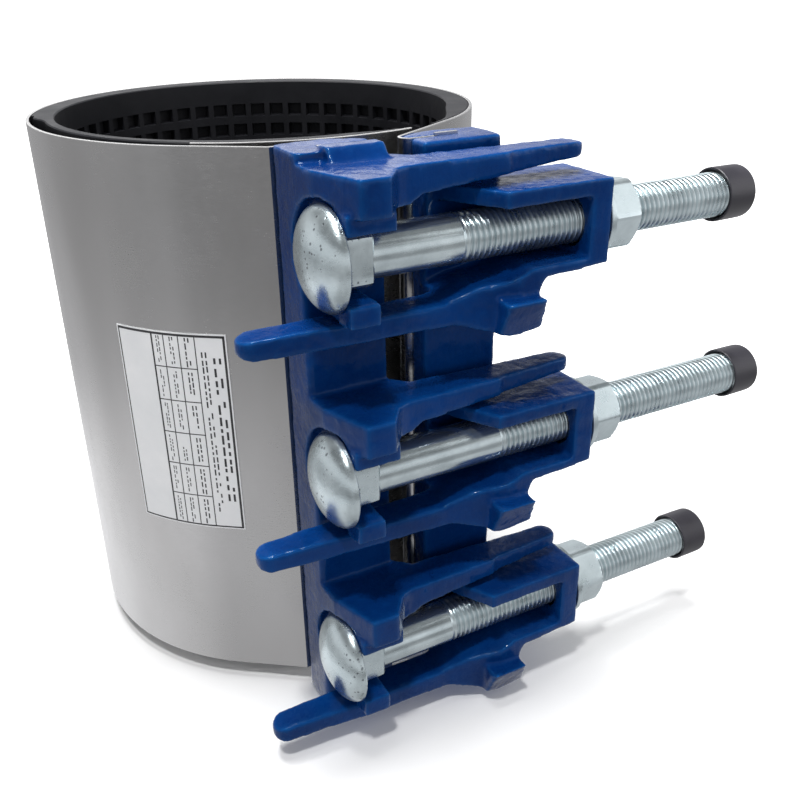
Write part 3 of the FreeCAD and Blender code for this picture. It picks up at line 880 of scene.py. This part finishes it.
LABEL_LOW, LABEL_HIGH = -36.6, 39.5
FILM_R = BAND_R + BAND_T / 2 + SKIN_GAP       # underside of the film, on the ring
FILM_T = 0.20
INK_TOP = 0.24                # top of the ruled lines, off the film's underside
MEASURE_R = 82.2              # radius that the label's length is measured at
ROUND_ANGLE = 23.0            # degrees of the label that lie on the ring
ROUND_PART = math.radians(ROUND_ANGLE) * MEASURE_R
FLAT_PART = 8.2               # and the rest, past where the sheet leaves the ring
LABEL_LENGTH = ROUND_PART + FLAT_PART


def label_point(along, lift):
    """A point so many mm along the label from its left edge, lift mm off the film's underside."""
    r = FILM_R + lift
    if along <= ROUND_PART:
        return polar(r, LEAVE - ROUND_ANGLE + math.degrees(along / MEASURE_R))
    x, y = polar(r, LEAVE)
    t = along - ROUND_PART
    return x + run[0] * t, y + run[1] * t


def label_strip(name, s0, s1, z0, z1, low, high, material):
    """A thin strip that follows the label between two lengths, two heights and two lifts."""
    n = max(2, int(s1 - s0) + 1)
    verts = []
    for along in np.linspace(s0, s1, n):
        for lift, z in ((low, z0), (high, z0), (high, z1), (low, z1)):
            verts.append((*label_point(along, lift), z))
    return dress(new_object(name, verts, join_rings(n, 4), 30), material)


film = label_strip("label_film_sheet", 0, LABEL_LENGTH, LABEL_LOW, LABEL_HIGH, 0.0, FILM_T, FILM)
lines = []


def rule(s0, s1, z0, z1):
    name = "label_rule_%03d" % len(lines)
    lines.append(label_strip(name, s0, s1, z0, z1, FILM_T, INK_TOP, INK))


margin, thin, thick = 0.5, 0.35, 0.8
left_s, right_s = margin, LABEL_LENGTH - margin
low_z, high_z = LABEL_LOW + margin, LABEL_HIGH - margin
rule(left_s, right_s, low_z, low_z + 0.55)
rule(left_s, right_s, high_z - thick, high_z)
rule(left_s, left_s + 0.45, low_z, high_z)
rule(right_s - thick, right_s, low_z, high_z)
columns = [left_s + (right_s - left_s) * share for share in (0.34, 0.455, 0.59, 0.735)]
for along, width in zip(columns, (0.6, thin, thin, thin)):
    rule(along, along + width, low_z, high_z)
rows = [low_z + (high_z - low_z) * k / 6 for k in range(7)]
for z in rows[1:-1]:
    rule(columns[0], columns[-1], z, z + thin)

# plain dashes stand for the print: they spell nothing
dice = random.Random(7)


def print_line(at, tall, start, stop):
    """One line of stand-in print: two broken rows of short plain dashes, from high z to low."""
    for offset in (-0.32, 0.18):
        z = start
        while z > stop + tall:
            length = tall * dice.uniform(0.35, 0.95)
            if dice.random() < 0.85:
                rule(at + tall * offset, at + tall * (offset + 0.2), z - length, z)
            z -= length + tall * dice.uniform(0.18, 0.45)


for s0, s1, tall in zip(columns, columns[1:], (1.7, 1.9, 2.4)):
    for z0, z1 in zip(rows, rows[1:]):
        print_line((s0 + s1) / 2 + 0.2, tall, z1 - 1.2, z0 + 0.4)
# two larger lines in the last column
middle = (columns[-1] + right_s) / 2 - 0.3
print_line(middle - 2.2, 2.6, high_z - 6.0, low_z + 4.0)
print_line(middle + 2.2, 3.9, high_z - 8.0, low_z + 8.0)
with bpy.context.temp_override(active_object=lines[0], selected_editable_objects=lines):
    bpy.ops.object.join()
lines[0].name = "label_table"
for piece in (film, lines[0]):
    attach(piece, "clamp")
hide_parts("data_label")


# ---- floor, light and camera: lengths here are metres ----

FLOOR_Z = cad_box[0][2] - 0.0002              # just under the castings' rounded skin


def studio_floor():
    """White paper that glows more the further it is from the object."""
    bpy.ops.mesh.primitive_plane_add(size=24.0, location=(0, 0, FLOOR_Z))
    floor = bpy.context.object
    floor.name = "studio_floor"
    paper = Nodes("studio_paper")
    speck = paper.noise(40.0, 3.0, 0.5)
    paper.colour(paper.ramp(speck, [(0.3, (0.86, 0.86, 0.86)), (0.7, (0.88, 0.88, 0.88))]))
    paper.roughness(paper.remap(speck, 0.75, 0.85))
    paper.shader.inputs["Emission Color"].default_value = (1.0, 1.0, 1.0, 1.0)
    apart = paper.add("ShaderNodeVectorMath", operation="LENGTH")
    paper.link(paper.place, apart.inputs[0])
    glow = paper.remap(apart.outputs["Value"], 0.05, 0.80, a=0.13, b=0.45)
    paper.link(glow, paper.shader.inputs["Emission Strength"])
    floor.data.materials.append(paper.material)
    # it isn't seen in reflections and bounces no light
    floor.visible_glossy = False
    floor.visible_diffuse = False
    return floor


floor = studio_floor()

# how bright the surroundings are, from straight down (-1) over the horizon (0) to straight up (1)
SKY = [(-1.0, 0.45), (-0.66, 0.76), (-0.56, 0.86), (-0.47, 0.86), (-0.38, 0.50), (-0.28, 0.44),
       (-0.14, 0.36), (0.015, 0.84), (0.25, 0.86), (0.48, 0.18), (1.0, 0.25)]


def studio_world():
    """Surroundings shaded by height. Below the horizon they are also uneven and brighter behind."""
    world = bpy.data.worlds.new("studio")
    bpy.context.scene.world = world
    world.use_nodes = True
    tree = world.node_tree
    background = tree.nodes["Background"]

    def spread(source, values):
        """Map Range node: from low, from high, to low, to high."""
        node = tree.nodes.new("ShaderNodeMapRange")
        for socket, value in zip(("From Min", "From Max", "To Min", "To Max"), values):
            node.inputs[socket].default_value = value
        tree.links.new(source, node.inputs["Value"])
        return node.outputs[0]

    def combine(operation, a, b):
        node = tree.nodes.new("ShaderNodeMath")
        node.operation = operation
        tree.links.new(a, node.inputs[0])
        tree.links.new(b, node.inputs[1])
        return node.outputs[0]

    where = tree.nodes.new("ShaderNodeTexCoord").outputs["Generated"]
    split = tree.nodes.new("ShaderNodeSeparateXYZ")
    tree.links.new(where, split.inputs[0])
    shade = tree.nodes.new("ShaderNodeValToRGB")
    while len(shade.color_ramp.elements) < len(SKY):
        shade.color_ramp.elements.new(0.5)
    for element, (at, grey) in zip(shade.color_ramp.elements, SKY):
        element.position = (at + 1) / 2
        element.color = (grey, grey, grey * 1.02, 1.0)
    tree.links.new(spread(split.outputs["Z"], (-1.0, 1.0, 0.0, 1.0)), shade.inputs[0])
    tree.links.new(shade.outputs[0], background.inputs["Color"])

    cloudy = tree.nodes.new("ShaderNodeTexNoise")
    cloudy.inputs["Scale"].default_value = 2.4
    cloudy.inputs["Detail"].default_value = 1.0
    tree.links.new(where, cloudy.inputs["Vector"])
    uneven = spread(cloudy.outputs["Fac"], (0.35, 0.65, -0.12, 0.12))
    behind = spread(split.outputs["Y"], (-1.0, 1.0, -0.30, 0.40))
    low = spread(split.outputs["Z"], (-0.10, -0.02, 1.0, 0.0))
    change = combine("MULTIPLY", combine("ADD", uneven, behind), low)
    tree.links.new(spread(change, (-1.0, 1.0, 0.0, 2.0)), background.inputs["Strength"])


def area_light(name, at, aim, size, power, tall=None):
    data = bpy.data.lights.new(name, "AREA")
    data.shape = "RECTANGLE"
    data.size = size
    data.size_y = tall or size
    data.energy = power
    lamp = bpy.data.objects.new(name, data)
    bpy.context.scene.collection.objects.link(lamp)
    lamp.location = at
    lamp.rotation_euler = (Vector(aim) - Vector(at)).to_track_quat("-Z", "Y").to_euler()


studio_world()
area_light("key", (-0.02, 0.10, 1.40), (0, -0.05, 0), 0.5, 26.0)
area_light("spark", (-0.35, -0.45, 1.25), (0, -0.08, 0), 0.12, 9.0)
area_light("fill", (0.9, -0.65, 0.5), (0, -0.05, 0), 0.6, 2.2, tall=0.9)
area_light("rim", (0.2, 0.9, 0.7), (0, 0, 0), 0.8, 3.0)

CAMERA_AT = Vector((-121.50, -343.42, 150.92)) * MM
HEADING, TILT, ROLL = map(math.radians, (27.898, 26.082, 0.828))
SENSOR_WIDTH = 36.0           # mm, as the camera takes it, and so is the next
FOCAL_LENGTH = 41.06052


def main_camera():
    """It looks along +Y turned by the heading, down by the tilt, and rolls about that line."""
    level_dir = Vector((math.cos(HEADING), -math.sin(HEADING), 0))
    ahead = Vector((math.sin(HEADING) * math.cos(TILT), math.cos(HEADING) * math.cos(TILT),
                    -math.sin(TILT)))
    down = ahead.cross(level_dir)
    right_dir = math.cos(ROLL) * level_dir + math.sin(ROLL) * down
    down_dir = -math.sin(ROLL) * level_dir + math.cos(ROLL) * down
    lens = bpy.data.cameras.new("camera")
    lens.sensor_width = SENSOR_WIDTH
    lens.lens = FOCAL_LENGTH
    lens.clip_start = 0.01
    eye = bpy.data.objects.new("camera", lens)
    bpy.context.scene.collection.objects.link(eye)
    turn = Matrix((right_dir, -down_dir, -ahead)).transposed().to_4x4()
    eye.matrix_world = Matrix.Translation(CAMERA_AT) @ turn
    bpy.context.scene.camera = eye


main_camera()
bpy.context.scene.view_settings.view_transform = "Standard"
